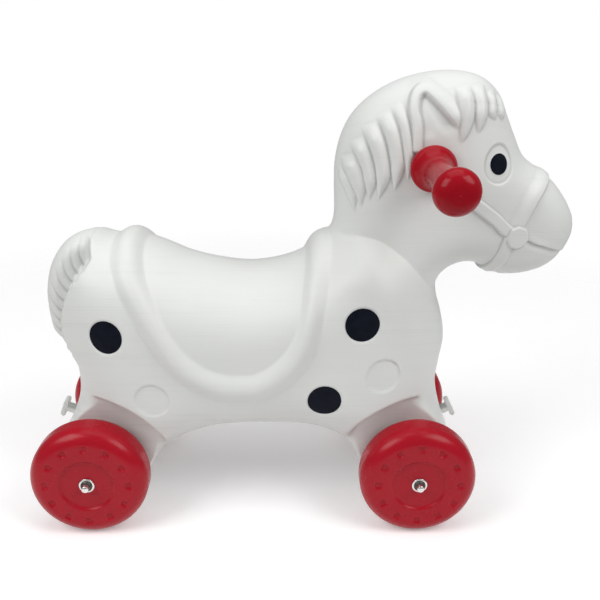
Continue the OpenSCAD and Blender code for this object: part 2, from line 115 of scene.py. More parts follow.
class Flow:
    """One output socket of a material, usable in Python sums."""

    def __init__(self, socket):
        self.socket = socket

    def node(self, kind, settings, sockets, out=0):
        tree = self.socket.id_data
        made = tree.nodes.new(kind)
        for name, value in settings.items():
            if name == "stops":
                for stop, (position, colour) in zip(made.color_ramp.elements, value):
                    stop.position = position
                    stop.color = colour
            else:
                setattr(made, name, value)
        for name, value in sockets.items():
            if isinstance(value, Flow):
                tree.links.new(value.socket, made.inputs[name])
            else:
                made.inputs[name].default_value = value
        return Flow(made.outputs[out])

    def sum(self, operation, first, second):
        return self.node("ShaderNodeMath", {"operation": operation}, {0: first, 1: second})

    def __add__(self, other):
        return self.sum("ADD", self, other)

    __radd__ = __add__

    def __sub__(self, other):
        return self.sum("SUBTRACT", self, other)

    def __rsub__(self, other):
        return self.sum("SUBTRACT", other, self)

    def __mul__(self, other):
        return self.sum("MULTIPLY", self, other)

    __rmul__ = __mul__

    def clipped(self, low, high):
        """0 below low, 1 above high and a straight rise between them."""
        limits = {"From Min": low, "From Max": high}
        return self.node("ShaderNodeMapRange", {"clamp": True}, {"Value": self, **limits})

    def stretched(self, scale):
        """The same place, with each axis scaled by itself."""
        return self.node("ShaderNodeMapping", {"vector_type": "POINT"}, {"Vector": self, "Scale": scale})

    def noise(self, scale, detail):
        sockets = {"Vector": self, "Scale": scale, "Detail": detail}
        return self.node("ShaderNodeTexNoise", {}, sockets)

    def tint(self, plain, other):
        """Mixes two colours by this value."""
        sockets = {"Factor": self, 6: plain, 7: other}
        return self.node("ShaderNodeMix", {"data_type": "RGBA"}, sockets, out=2)


def new_finish(name):
    """A bare material: its shader node, and the place on the surface as a Flow."""
    material = bpy.data.materials.new(name)
    material.use_nodes = True
    tree = material.node_tree
    shader = tree.nodes["Principled BSDF"]
    place = Flow(tree.nodes.new("ShaderNodeTexCoord").outputs["Object"])
    return material, shader, place


def feed(shader, name, value):
    """Sets a socket of the shader to a number or colour, or wires a Flow into it."""
    if isinstance(value, Flow):
        shader.id_data.links.new(value.socket, shader.inputs[name])
    else:
        shader.inputs[name].default_value = value


print("shader sums ready")

# %% [markdown]
# The body is blow-moulded polyethylene: satin, slightly cool off-white. The mould leaves very fine
# lines, level along the toy and tilted across it, and a soft unevenness. Noise that is squeezed
# along that tilted height and stretched along X gives the lines, and a second, larger noise gives
# the cloudy unevenness of colour and gloss. The skin carries a crease value, which greys the
# bottoms of carved valleys with painted shade, because in even light the fine valleys would show
# too little shadow.

# %% Body finish
BODY_WHITE = (0.775, 0.790, 0.768, 1)
BODY_SHADE = (0.722, 0.738, 0.715, 1)
# Grey and strength of the painted shade in the bottoms of carved valleys.
CREASE_SHADE_GREY = (0.36, 0.37, 0.36, 1)
CREASE_SHADE_TINT = 0.42
LEVEL_RISE, LEVEL_LEAN = 0.94, 0.35
body_finish, shader, place = new_finish("moulded_white")
x, y, z = (place.node("ShaderNodeSeparateXYZ", {}, {0: place}, out=k) for k in range(3))
tilted_height = z*LEVEL_RISE - y.sum("ABSOLUTE", y, 0)*LEVEL_LEAN
level = place.node("ShaderNodeCombineXYZ", {}, {0: x, 2: tilted_height})
breaks = level.stretched((14, 1, 160)).noise(1, 2).clipped(0.42, 0.6)
lines = level.stretched((1.2, 1, 800)).noise(1, 2).clipped(0.5, 0.72)*breaks
clouds = place.noise(14, 4)
grain = place.noise(900, 2)
# Painted shade: the crease value greys the bottoms of the carved valleys in the base colour.
crease = place.node("ShaderNodeAttribute", {"attribute_name": "crease"}, {}, out="Fac")
tone = (lines*0.5 + clouds*0.5).clipped(0.15, 0.7).tint(BODY_WHITE, BODY_SHADE)
feed(shader, "Base Color", (crease*CREASE_SHADE_TINT).tint(tone, CREASE_SHADE_GREY))
feed(shader, "Roughness", clouds*0.16 + lines*0.06 + 0.36)
feed(shader, "Specular IOR Level", 0.35)
height = grain*0.3 + clouds*0.4 - lines*0.5
bump = {"Height": height, "Strength": 0.2, "Distance": 0.0006}
feed(shader, "Normal", place.node("ShaderNodeBump", {}, bump))
print("body finish made")

# %% [markdown]
# Wheels and grips are red plastic with faint clouds and scuffs. The wheels are satin, and the grips
# are smoother from being handled. One function serves both.

# %% Red finishes


def red_finish(name, red, dark, rough, ior):
    material, shader, place = new_finish(name)
    clouds = place.noise(30, 3)
    grain = place.noise(700, 2)
    scuffs = place.stretched((1, 6, 1)).noise(160, 5).clipped(0.6, 0.8)
    feed(shader, "Base Color", (clouds*0.8 + scuffs*0.25).clipped(0.3, 0.75).tint(red, dark))
    feed(shader, "Roughness", clouds*0.12 + scuffs*0.12 + rough)
    feed(shader, "IOR", ior)
    bump = {"Height": grain*0.6 + clouds*0.2, "Strength": 0.08, "Distance": 0.0004}
    feed(shader, "Normal", place.node("ShaderNodeBump", {}, bump))
    return material


wheel_finish = red_finish("wheel_red", (0.41, 0.006, 0.017, 1), (0.35, 0.005, 0.015, 1), 0.2, 1.3)
grip_finish = red_finish("grip_red", (0.36, 0.005, 0.013, 1), (0.31, 0.004, 0.012, 1), 0.13, 1.24)
print("red finishes made")

# %% [markdown]
# The axles and washers are bright plated steel with fine turning marks. The push nuts are spring
# steel, which is blackened. The spots and pupils are thin dark vinyl stickers.

# %% Steel and sticker finishes


def steel_finish(name, colour, rough):
    material, shader, place = new_finish(name)
    marks = place.stretched((1, 30, 1)).noise(260, 4)
    feed(shader, "Base Color", colour)
    feed(shader, "Metallic", 1.0)
    feed(shader, "Roughness", marks*0.22 + rough)
    bump = {"Height": marks, "Strength": 0.15, "Distance": 0.0003}
    feed(shader, "Normal", place.node("ShaderNodeBump", {}, bump))
    return material


bright_steel = steel_finish("bright_steel", (0.72, 0.71, 0.69, 1), 0.14)
dark_steel = steel_finish("blackened_steel", (0.10, 0.095, 0.09, 1), 0.32)

STICKER_DARK = (0.005, 0.006, 0.012, 1)
STICKER_WORN = (0.008, 0.010, 0.018, 1)
sticker_finish, shader, place = new_finish("dark_sticker")
clouds = place.noise(120, 3)
feed(shader, "Base Color", clouds.clipped(0.3, 0.7).tint(STICKER_DARK, STICKER_WORN))
feed(shader, "Roughness", clouds*0.15 + 0.38)
feed(shader, "Specular IOR Level", 0.06)
bump = {"Height": place.noise(1500, 2), "Strength": 0.08, "Distance": 0.0002}
feed(shader, "Normal", place.node("ShaderNodeBump", {}, bump))
print("steel and sticker finishes made")

# %% [markdown]
# The body's side view is a row of sections from tail to nose. Each joins a point on the upper
# outline to one on the lower outline, in shares of the wheel base along X and of the body's height
# above the axles, and may bow. A smooth curve through the rows gives the outline anywhere.

# %% Side view of the body
BODY_H = 0.432
BODY_W = 0.198
HEAD_W = 0.110
LEG_W = 0.137
TAIL_W = 0.048
BARREL_ROUND = 0.072
HEAD_ROUND = 0.052
SECTION_SHARES = np.array([
    [-0.649, 0.354, -0.668, -0.035, 0.086],
    [-0.652, 0.43, -0.658, -0.056, 0.09],
    [-0.63, 0.508, -0.619, -0.067, 0.075],
    [-0.577, 0.57, -0.559, -0.069, 0.045],
    [-0.502, 0.597, -0.488, -0.067, 0.019],
    [-0.43, 0.583, -0.416, -0.058, 0.005],
    [-0.359, 0.582, -0.345, -0.035, 0],
    [-0.285, 0.561, -0.274, 0.007, 0],
    [-0.203, 0.531, -0.197, 0.046, 0],
    [-0.115, 0.513, -0.115, 0.069, 0],
    [-0.022, 0.504, -0.027, 0.076, 0],
    [0.055, 0.512, 0.06, 0.076, 0],
    [0.099, 0.522, 0.148, 0.074, 0],
    [0.134, 0.534, 0.23, 0.053, 0],
    [0.159, 0.547, 0.307, 0.007, 0],
    [0.178, 0.56, 0.386, -0.051, 0],
    [0.195, 0.574, 0.471, -0.069, 0],
    [0.21, 0.587, 0.562, -0.067, -0.005],
    [0.222, 0.6, 0.628, -0.042, -0.016],
    [0.231, 0.614, 0.637, 0.03, -0.027],
    [0.237, 0.632, 0.603, 0.109, -0.033],
    [0.239, 0.655, 0.585, 0.188, -0.022],
    [0.238, 0.685, 0.592, 0.255, -0.011],
    [0.236, 0.727, 0.6, 0.317, 0],
    [0.237, 0.782, 0.587, 0.38, 0],
    [0.252, 0.843, 0.567, 0.435, 0],
    [0.285, 0.898, 0.564, 0.475, 0],
    [0.342, 0.944, 0.589, 0.505, 0],
    [0.419, 0.979, 0.629, 0.521, 0],
    [0.507, 0.998, 0.672, 0.521, 0],
    [0.589, 1, 0.711, 0.504, 0],
    [0.656, 0.985, 0.75, 0.491, 0],
    [0.704, 0.949, 0.796, 0.49, 0],
    [0.734, 0.897, 0.842, 0.496, 0],
    [0.761, 0.849, 0.882, 0.508, 0],
    [0.793, 0.8, 0.912, 0.525, 0],
    [0.844, 0.767, 0.938, 0.549, 0],
    [0.895, 0.733, 0.955, 0.573, 0],
    [0.937, 0.69, 0.966, 0.599, 0],
    [0.963, 0.651, 0.969, 0.624, 0],
])
LAST = len(SECTION_SHARES) - 1
LOW_BOW_SHARE, LOW_BOW_RAMP = 0.5, (0.05, 0.5)
HIGH_BOW_SHARE, HIGH_BOW_RAMP = 0.7, (0.05, 0.32)
OUTLINE_STEPS, END_STEPS = 5, 40
OUTLINE_EVEN = 0.25


def ramp(value, start, end):
    t = np.clip((value - start)/(end - start), 0, 1)
    return t*t*(3 - 2*t)


def curve(rows, t):
    """Smooth curve through rows of numbers, with t counted in rows."""
    t = np.asarray(t, float)
    i = np.clip(np.floor(t).astype(int), 0, len(rows) - 2)
    f = (t - i)[..., None]
    a, b, c, d = (rows[np.clip(i + k, 0, len(rows) - 1)] for k in (-1, 0, 1, 2))
    return b + (c - a)*f/2 + (2*a - 5*b + 4*c - d)*f*f/2 + (3*b - a - 3*c + d)*f*f*f/2


def place_share(share):
    """Shares of the wheel base and the body's height as a place in the side view."""
    share = np.asarray(share, float)
    return np.stack([MID_X + share[..., 0]*WHEEL_BASE, AXLE_Z + share[..., 1]*BODY_H], axis=-1)


def section_points(t, v):
    """Places at section t and at share v of the way from its lower to its upper point."""
    s = curve(SECTION_SHARES, t)
    upper, lower, bow = place_share(s[..., 0:2]), place_share(s[..., 2:4]), s[..., 4]*WHEEL_BASE
    p = lower + v[..., None]*(upper - lower)
    arch = 4*v*(1 - v)
    low_bow = arch + (ramp(v, *LOW_BOW_RAMP) - arch)*LOW_BOW_SHARE
    high_bow = arch + (ramp(1 - v, *HIGH_BOW_RAMP) - arch)*HIGH_BOW_SHARE
    behind = np.where(v < 0.5, low_bow, high_bow)
    p[..., 0] += bow*np.where(bow > 0, behind, 2*(1 - v)*arch)
    return p


def eased(steps, even_share):
    """Steps from 0 to 1 that lie closer together towards both ends."""
    even = np.linspace(0, 1, steps + 1)
    return even_share*even + (1 - even_share)*(1 - np.cos(np.pi*even))/2


def side_outline():
    t = LAST*eased(LAST*OUTLINE_STEPS, OUTLINE_EVEN)
    v = np.linspace(0, 1, END_STEPS + 1)
    ones = np.ones_like
    return np.concatenate([
        section_points(t, ones(t)),
        section_points(LAST*ones(v), v[::-1])[1:],
        section_points(t[::-1], 0*t)[1:],
        section_points(0*v, v)[1:],
    ])


OUTLINE = side_outline()
print(len(OUTLINE), "points round the side view")

# %% [markdown]
# Creases and carving, such as mane and bridle, are laid out in the side view too. Places are in
# millimetres: X from the middle between the axles and Z from the floor. A route is a smooth line
# through such places, and its signed distance says which side of it a point lies on.

# %% Routes in the side view
ROUTE_STEPS = 6


def side(*points):
    p = np.array(points, float)*MM
    p[:, 0] += MID_X
    return p


def route(*points):
    p = side(*points)
    return curve(p, np.linspace(0, len(p) - 1, (len(p) - 1)*ROUTE_STEPS + 1))


def along(p, line):
    """Distance of points from a route, positive on its left, and the share of the way along it."""
    best = np.full(len(p), np.inf)
    share = np.zeros(len(p))
    sign = np.ones(len(p))
    for i, (a, b) in enumerate(zip(line[:-1], line[1:])):
        edge = b - a
        t = np.clip((p - a)@edge/(edge@edge), 0, 1)
        away = p - a - t[:, None]*edge
        distance = np.hypot(away[:, 0], away[:, 1])
        closer = distance < best
        best = np.where(closer, distance, best)
        share = np.where(closer, (i + t)/(len(line) - 1), share)
        sign = np.where(closer, np.sign(cross(edge, p - a)), sign)
    return best*sign, share


def hump(t):
    return np.clip(1 - t*t, 0, 1)**2


print("routes ready")

# %% [markdown]
# The half width at a place in the side view depends on how deep that place lies inside the
# outline: the skin rounds off towards the rim. The trunk and the head have their own widths and
# roundings. Under the crease at the base of the neck the shoulder swells out like a quarter of an
# oval. The tail and the wheel arches then narrow the skin.

# %% Half width of the skin
TRUNK_WIDTH_SHARES = np.array([0.63, 0.87, 0.96, 0.99, 1, 0.98, 0.87, 0.63])
TRUNK_REACH_SHARE = 0.67
HEAD_WIDTH_SHARES = np.array([0.91, 0.95, 1, 0.98, 0.78, 0.65])
HEAD_ROUND_SHARES = np.array([1, 1, 1.04, 0.96, 0.69, 0.54])
HEAD_FROM_SHARE, HEAD_TO_SHARE = 0.164, 0.986
NECK_CREASE = route(
    (77, 420), (77, 360), (81, 336), (92, 329), (112, 330), (133, 326),
    (149, 316), (166, 302), (180, 286), (195, 266), (208, 244),
)
NECK_SWELL, NECK_POWER = 46*MM, 2.2
RUMP = place_share((-0.307, 0.363))
RUMP_R = 0.268*WHEEL_BASE
TAIL_END_Z = place_share((0, 0.264))[1]
TAIL_ROOT_X = place_share((-0.455, 0))[0]
TAIL_ROUND, TAIL_SOFT, TAIL_BLEND = 0.016, 0.005, 0.022
ARCH_FOOT, ARCH_RIM = AXLE_Z + 0.017, AXLE_Z + 0.045
LEG_ROUND, LEG_FADE = 0.016, 0.026
EDGE_SOFT = 0.004
LEAST = 1e-12


def soft_min(a, b, k):
    h = np.clip(0.5 + (b - a)/k/2, 0, 1)
    return b + (a - b)*h - k*h*(1 - h)


def rounded(t):
    return np.sqrt(1 - (1 - np.clip(t, 0, 1))**2)


def even_row(shares, x, start, end):
    t = np.clip((x - start)/(end - start), 0, 1)*(len(shares) - 1)
    return curve(shares[:, None], t)[..., 0]


def cross(a, b):
    return a[..., 0]*b[..., 1] - a[..., 1]*b[..., 0]


def depth_inside(p):
    """About the distance to the outline, smooth everywhere."""
    total = np.zeros(p.shape[:-1])
    for start, end in zip(OUTLINE[:-1], OUTLINE[1:]):
        edge = end - start
        length = np.hypot(*edge)
        away = start - p
        s = away@edge/length
        h = np.maximum((cross(away, edge)/length)**2, LEAST)
        total += ((s + length)/np.sqrt(h + (s + length)**2) - s/np.sqrt(h + s*s))/h
    return np.sqrt(2/total)


def skin_width(p):
    d = depth_inside(p)
    x = (p[..., 0] - MID_X)/WHEEL_BASE
    above_crease = along(p, NECK_CREASE)[0]
    blend = 1 - (1 - np.clip(-above_crease/NECK_SWELL, 0, 1))**NECK_POWER
    trunk = BODY_W/2*even_row(TRUNK_WIDTH_SHARES, x, -TRUNK_REACH_SHARE, TRUNK_REACH_SHARE)
    head = HEAD_W/2*even_row(HEAD_WIDTH_SHARES, x, HEAD_FROM_SHARE, HEAD_TO_SHARE)
    head_round = HEAD_ROUND*even_row(HEAD_ROUND_SHARES, x, HEAD_FROM_SHARE, HEAD_TO_SHARE)
    hubs = [np.hypot(p[..., 0] - hub[0], p[..., 1] - hub[2]) for hub in (front_hub, rear_hub)]
    on_leg = 1 - ramp(np.minimum(*hubs), ARCH_FOOT - LEG_FADE, ARCH_FOOT)
    trunk_round = BARREL_ROUND + (LEG_ROUND - BARREL_ROUND)*on_leg
    y = (head + (trunk - head)*blend)*rounded(d/(head_round + (trunk_round - head_round)*blend))
    off_rump = np.hypot(*(p - RUMP).T).T - RUMP_R
    free = ramp(-off_rump, -TAIL_SOFT, TAIL_SOFT)
    free += ramp(TAIL_END_Z - p[..., 1], -EDGE_SOFT, 2*EDGE_SOFT)
    free += ramp(p[..., 0] - TAIL_ROOT_X, -TAIL_BLEND, TAIL_BLEND)
    y = soft_min(y, TAIL_W/2*rounded(d/TAIL_ROUND) + BODY_W/2*np.minimum(free, 1), EDGE_SOFT)
    for reach in hubs:
        y = soft_min(y, LEG_W/2 + BODY_W/2*ramp(reach, ARCH_FOOT, ARCH_RIM), 2*EDGE_SOFT)
    return y


print(f"half width in the middle of the barrel {skin_width(place_share([(0, 0.3)]))[0]:.4f} m")

# %% [markdown]
# A lock of hair is a rounded ridge between two edges, so each lock is a pair of routes from its
# root to its tip. Neighbouring locks share an edge and meet there in a sharp valley, which is what
# the eye reads as hair. The wider a lock is, the higher it stands.

# %% Mane, forelock and tail
LOCK_RISE = 0.7
LOCK_ROOT_SHARE = 0.25
CRISP = 1.6*MM


def lock(left_edge, right_edge):
    """Middle line of a lock and half its width along the way."""
    a, b = route(*left_edge), route(*right_edge)
    return (a + b)/2, np.hypot(*(b - a).T)/2


HAIR = [
    lock([(90, 400), (92, 384), (97, 374), (101, 366), (105, 357)],
         [(94, 405), (99, 393), (103, 383), (106, 375), (107, 357)]),
    lock([(94, 408), (99, 393), (103, 383), (106, 375), (112, 362)],
         [(100, 422), (107, 411), (112, 398), (115, 385), (113, 362)]),
    lock([(101, 424), (107, 411), (112, 398), (115, 385), (120, 370)],
         [(110, 439), (118, 424), (124, 406), (126, 392), (121, 370)]),
    lock([(110, 441), (118, 424), (124, 406), (126, 392), (129, 371)],
         [(123, 453), (134, 433), (140, 408), (140, 392), (130, 371)]),
    lock([(123, 455), (134, 433), (140, 408), (141, 396), (145, 381)],
         [(138, 463), (147, 443), (153, 416), (153, 401), (146, 381)]),
    lock([(138, 465), (147, 443), (153, 416), (154, 405), (158, 392)],
         [(150, 472), (157, 449), (162, 425), (163, 408), (159, 392)]),
    lock([(203, 484), (204, 470), (206, 455), (208, 440), (209, 430)],
         [(219, 488), (222, 470), (222, 457), (217, 443), (210, 430)]),
    lock([(219, 490), (222, 470), (222, 457), (224, 448), (226, 440)],
         [(234, 484), (236, 470), (236, 459), (232, 447), (227, 440)]),
    lock([(234, 485), (236, 470), (236, 459), (240, 455), (244, 452)],
         [(245, 477), (247, 468), (247, 461), (247, 456), (245, 452)]),
    lock([(245, 478), (247, 468), (247, 461), (249, 456), (253, 451)],
         [(252, 474), (256, 467), (258, 460), (258, 455), (254, 451)]),
]
TAIL_GROOVES = 10
TAIL_FROM, TAIL_TO = 129, 193
TAIL_BEND = ((-9, 33), (-4, 23), (0, 15), (3, 6), (5, -4))
TAIL_DEEP = 3.2*MM
TAIL_STEP, TAIL_FADE = (-3*MM, 4*MM), (17*MM, 32*MM)
TAIL_FOOT, TAIL_ROOT = (-4*MM, 6*MM), (4*MM, 24*MM)
FIRST_RISE, LAST_RISE = 12*MM, 6*MM
GROOVE_STEPS = 4


def lock_share(p, middle_line, half):
    """1 on a lock's middle line and 0 at its edges, half its width, and the share of the way."""
    s, t = along(p, middle_line)
    reach = np.interp(t, np.linspace(0, 1, len(half)), half)
    return np.clip(1 - (s/reach)**2, 0, 1), reach, t


def hair(p):
    heights = []
    for middle_line, half in HAIR:
        share, reach, t = lock_share(p, middle_line, half)
        heights.append(LOCK_RISE*reach*share*ramp(t, 0, LOCK_ROOT_SHARE))
    return np.max(heights, axis=0)


def tail_groove(k):
    angle = TAIL_FROM + (TAIL_TO - TAIL_FROM)*k/(TAIL_GROOVES - 1)
    bends = [(math.radians(angle + turn), RUMP_R + out*MM) for turn, out in TAIL_BEND]
    points = np.array([RUMP + [r*math.cos(a), r*math.sin(a)] for a, r in bends])
    return curve(points, np.linspace(0, len(points) - 1, GROOVE_STEPS*len(points)))


def tail_hair(p):
    out = np.hypot(*(p - RUMP).T) - RUMP_R
    on_tail = ramp(out, *TAIL_STEP)*(1 - ramp(out, *TAIL_FADE))
    on_tail *= ramp(p[:, 1] - TAIL_END_Z, *TAIL_FOOT)
    on_tail *= ramp(TAIL_ROOT_X - p[:, 0], *TAIL_ROOT)
    grooves = [tail_groove(k) for k in range(TAIL_GROOVES)]
    before = along(p, grooves[0])[0]
    after = along(p, grooves[-1])[0]
    locks = [ramp(before, 0, FIRST_RISE), ramp(-after, 0, LAST_RISE)]
    for a, b in zip(grooves[:-1], grooves[1:]):
        locks.append(lock_share(p, (a + b)/2, np.hypot(*(b - a).T)/2)[0])
    return TAIL_DEEP*(np.max(locks, axis=0) - 1)*on_tail


print(len(HAIR), "locks of mane and forelock,", TAIL_GROOVES, "grooves in the tail")

# %% [markdown]
# The saddle blanket's edge is a soft roll over the back. The ear is a rolled rim, crisp inside and
# soft outside, round a shallow flat. The bridle's straps have one or two crisp sides, and meet at a
# rosette with eight faint corners. The mouth is a crease under the upper lip.

# %% Blanket roll, ear, bridle and mouth
ROLL = route(
    (-142, 346), (-139, 316), (-134, 298), (-127, 281), (-118, 265), (-108, 246), (-97, 227),
    (-80, 203), (-58, 185), (-34, 175), (-14, 174), (5, 176), (25, 187), (43, 206),
    (54, 227), (60, 250), (65, 278), (69, 300), (72, 318),
)
ROLL_WIDTHS = np.array([38, 31, 27, 35, 34, 25, 26])*MM
ROLL_H, ROLL_POWER = 7*MM, 1.5
EAR = route((166, 424), (165, 446), (162, 462), (165, 475), (174, 480), (184, 473), (198, 459), (211, 445))
EAR_HALF, EAR_OUTER, EAR_H, EAR_SUNK = 6*MM, 13*MM, 4.2*MM, 1.4*MM
EAR_CRISP = 3.2*MM
EAR_FOOT_Z, EAR_FOOT_RISE = 0.432, 0.012
EAR_FLAT = (10*MM, 22*MM)
EAR_TURN, EAR_END = (0.4, 0.6), (0.88, 1)
NOSEBAND = route((278, 336), (283, 347), (289, 360), (297, 374), (309, 388), (322, 399))
CHEEK_STRAP = route((222, 373), (231, 367), (242, 359), (254, 350), (265, 340), (280, 330))
CHIN_STRAP = route((273, 332), (270, 321), (268, 311), (265, 300), (260, 287), (255, 276))
STRAP_W, STRAP_H, STRAP_CRISP = 12*MM, 3*MM, 2*MM
STRAPS = [(NOSEBAND, 14*MM), (CHEEK_STRAP, 2.4*MM), (CHIN_STRAP, 7*MM)]
ROSETTE = side((280, 330))[0]
ROSETTE_R, ROSETTE_H, ROSETTE_EDGE = 13.5*MM, 5*MM, 3*MM
ROSETTE_CORNERS, ROSETTE_FLAT_SHARE = 8, 0.6
MOUTH = route((291, 327), (303, 321), (315, 317), (329, 312), (348, 305))
MOUTH_DEPTH, MOUTH_W, LIP_H = 1.8*MM, 9*MM, 0.8*MM
MOUTH_START, MOUTH_END, MOUTH_LOSS = (0, 0.12), (0.6, 1), 0.7


def strap(p, line, left_fade):
    """A band with a crisp right side and a left side that falls away over its own distance."""
    s = along(p, line)[0]
    fall = np.where(s > 0, left_fade, STRAP_CRISP)
    return STRAP_H*(1 - ramp(np.abs(s), STRAP_W/2 - fall/2, STRAP_W/2 + fall/2))


def ear(p):
    s, t = along(p, EAR)
    inside = -s
    crisp_fall = 1 - ramp(np.abs(s), EAR_HALF - EAR_CRISP, EAR_HALF)
    soft_fall = hump(s/EAR_OUTER)
    outer_fall = crisp_fall + (soft_fall - crisp_fall)*ramp(t, *EAR_TURN)
    rim = np.where(inside > 0, crisp_fall, outer_fall)
    ends = 1 - ramp(t, *EAR_END)
    sunk = ramp(inside, EAR_HALF - EAR_CRISP, EAR_HALF)*(1 - ramp(inside, *EAR_FLAT))
    sunk *= ramp(p[:, 1], EAR_FOOT_Z, EAR_FOOT_Z + EAR_FOOT_RISE)
    return EAR_H*rim*ends - EAR_SUNK*sunk*ends


def rosette(p):
    away = p - ROSETTE
    turns = (np.arange(ROSETTE_CORNERS) + 0.5)*2*np.pi/ROSETTE_CORNERS
    flats = np.max([away@np.array([math.cos(a), math.sin(a)]) for a in turns], axis=0)
    round_r = np.hypot(away[:, 0], away[:, 1])
    r = round_r + (flats - round_r)*ROSETTE_FLAT_SHARE
    return ROSETTE_H*(1 - ramp(r, ROSETTE_R - ROSETTE_EDGE, ROSETTE_R))


def mouth(p):
    s, t = along(p, MOUTH)
    grown = ramp(t, *MOUTH_START)*(1 - MOUTH_LOSS*ramp(t, *MOUTH_END))
    crease = MOUTH_DEPTH*ramp(-s, -CRISP/2, CRISP/2)*hump(s/MOUTH_W)
    lip = LIP_H*ramp(s, -CRISP/2, CRISP/2)*hump(s/MOUTH_W)
    return (lip - crease)*grown


def roll(p):
    s, t = along(p, ROLL)
    half = np.interp(t, np.linspace(0, 1, len(ROLL_WIDTHS)), ROLL_WIDTHS)/2
    return ROLL_H*np.clip(1 - (s/half)**2, 0, 1)**ROLL_POWER


def carving(p):
    """Height of the fine carving that the mould raises or sinks, at places in the side view."""
    raised = [hair(p), rosette(p), *(strap(p, line, fade) for line, fade in STRAPS)]
    face = ear(p)
    sunk = np.minimum(face, 0) + mouth(p) + tail_hair(p)
    return np.maximum(np.max(raised, axis=0), face) + sunk


print("carving laid out")

# %% [markdown]
# Spots, eyes and the two empty spot places are shallow pockets. A seat is a point of the skin with
# the direction out of it and two directions along it, so a pocket and its sticker share one place.

# %% Pockets for spots and eyes
SPOTS = {"shoulder": (0.313, 0.421), "belly": (0.209, 0.217), "rump": (-0.428, 0.378)}
BARE_POCKETS = [(0.382, 0.281), (-0.302, 0.213)]
EYE = (0.693, 0.794)
SPOT_R, SPOT_DEPTH = 18.4*MM, 1.6*MM
EYE_R, EYE_DEPTH, EYE_CROWN = (16.5*MM, 20*MM), 1.8*MM, 1*MM
PUPIL_R = (10.3*MM, 11*MM)
POCKET_EDGE = 1.5*MM
PROBE = 2*MM


def seat(share):
    """A point on the right-hand skin, the way out of it, and the ways forward and up along it."""
    p = place_share(share)
    y, yx, yz = skin_width(np.array([p, p + [PROBE, 0], p + [0, PROBE]]))
    out = np.array([y - yx, -PROBE, y - yz])
    out /= np.linalg.norm(out)
    up = skyward - out*out[2]
    up /= np.linalg.norm(up)
    return np.array([p[0], -y, p[1]]), out, np.cross(up, -out), up


def pocket(points, share, radii):
    """Share of the pocket's radius at each point of the right-hand skin."""
    middle_point, out, forward, up = seat(share)
    away = points - middle_point
    r = np.hypot(away@forward/radii[0], away@up/radii[1])
    return np.where(np.linalg.norm(away, axis=1) < 2*max(radii), r, np.inf)


def round_pockets(points):
    """Depth of the pockets for the spots at points of the right-hand skin."""
    deep = np.zeros(len(points))
    for share in [*SPOTS.values(), *BARE_POCKETS]:
        r = pocket(points, share, (SPOT_R, SPOT_R))
        deep += SPOT_DEPTH*(1 - ramp(r, 1, 1 + POCKET_EDGE/SPOT_R))
    return deep


def eye_pocket(points):
    r = pocket(points, EYE, EYE_R)
    return (EYE_DEPTH - EYE_CROWN*hump(r))*(1 - ramp(r, 1, 1 + POCKET_EDGE/SPOT_R))


print("seat of the right eye", np.round(seat(EYE)[0], 4))

# %% [markdown]
# Now the skin itself. A grid of columns from tail to nose and rows from belly to back is laid over
# the right-hand side and mirrored, and the two halves share their rim. Blender's own normals then
# say which way to push each point for the carving and the pockets. The crease value for the finish
# says how far the carving at a point lies below the points round about, and it sets how much
# painted shade the finish puts in those valleys.

# %% Body
COLUMNS, ROWS = 800, 240
ROWS_EVEN = 0.45
CREASE_FULL = 0.5*MM
CREASE_MARGIN = 3
PACE_SHARES = ((0, 0.11, 0.4, 0.5, 1), (0, 0.1, 0.335, 0.565, 1))


def shown(mesh, shape, finish):
    """Puts a bmesh into a mesh, smooth and facing outwards, and shows it as an object."""
    bmesh.ops.recalc_face_normals(shape, faces=shape.faces)
    shape.to_mesh(mesh)
    shape.free()
    mesh.shade_smooth()
    mesh.materials.append(finish)
    piece = bpy.data.objects.new(mesh.name, mesh)
    bpy.context.scene.collection.objects.link(piece)
    return piece


def mesh_piece(name, vertices, faces, finish):
    mesh = bpy.data.meshes.new(name)
    mesh.from_pydata(np.asarray(vertices).tolist(), [], faces)
    shape = bmesh.new()
    shape.from_mesh(mesh)
    return shown(mesh, shape, finish)


def settle(piece, body, slot, *nodes):
    """The piece moves with its body and stands for its solids. The slot is not used."""
    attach(piece, body)
    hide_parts(*nodes)
    return piece


def four_round(grid, step):
    """Sum of the four points a step away from each point inside the grid's margin."""
    inner = slice(step, -step)
    return grid[2*step:, inner] + grid[:-2*step, inner] + grid[inner, 2*step:] + grid[inner, :-2*step]


columns = np.linspace(0, 1, COLUMNS + 1)
t = np.interp(columns, PACE_SHARES[0], PACE_SHARES[1])*LAST
v = eased(ROWS, ROWS_EVEN)
t_grid, v_grid = np.meshgrid(t, v, indexing="ij")
flat_grid = section_points(t_grid.ravel(), v_grid.ravel())
rim = np.zeros((COLUMNS + 1, ROWS + 1), bool)
rim[[0, -1], :] = True
rim[:, [0, -1]] = True
rim = rim.ravel()
half_width = np.where(rim, 0, skin_width(flat_grid))
near = np.stack([flat_grid[:, 0], -half_width, flat_grid[:, 1]], axis=1)
far_index = np.where(rim, np.arange(len(near)), 0)
far_index[~rim] = len(near) + np.arange(np.sum(~rim))
skin_points = np.concatenate([near, near[~rim]*[1, -1, 1]])

corner = (np.arange(COLUMNS)[:, None]*(ROWS + 1) + np.arange(ROWS)).ravel()
quads = np.stack([corner, corner + ROWS + 1, corner + ROWS + 2, corner + 1], axis=1)
faces = np.concatenate([quads, far_index[quads][:, ::-1]]).tolist()
body = mesh_piece("moulded_body", skin_points, faces, body_finish)

normals = np.zeros(len(skin_points)*3)
body.data.vertex_normals.foreach_get("vector", normals)
normals = normals.reshape(-1, 3)
fine = carving(flat_grid) - eye_pocket(near)
lift = fine + np.maximum(roll(flat_grid) - np.maximum(fine, 0), 0) - round_pockets(near)
lift = np.concatenate([lift, lift[~rim]])
body.data.vertices.foreach_set("co", (skin_points + normals*lift[:, None]).ravel())
body.data.update()
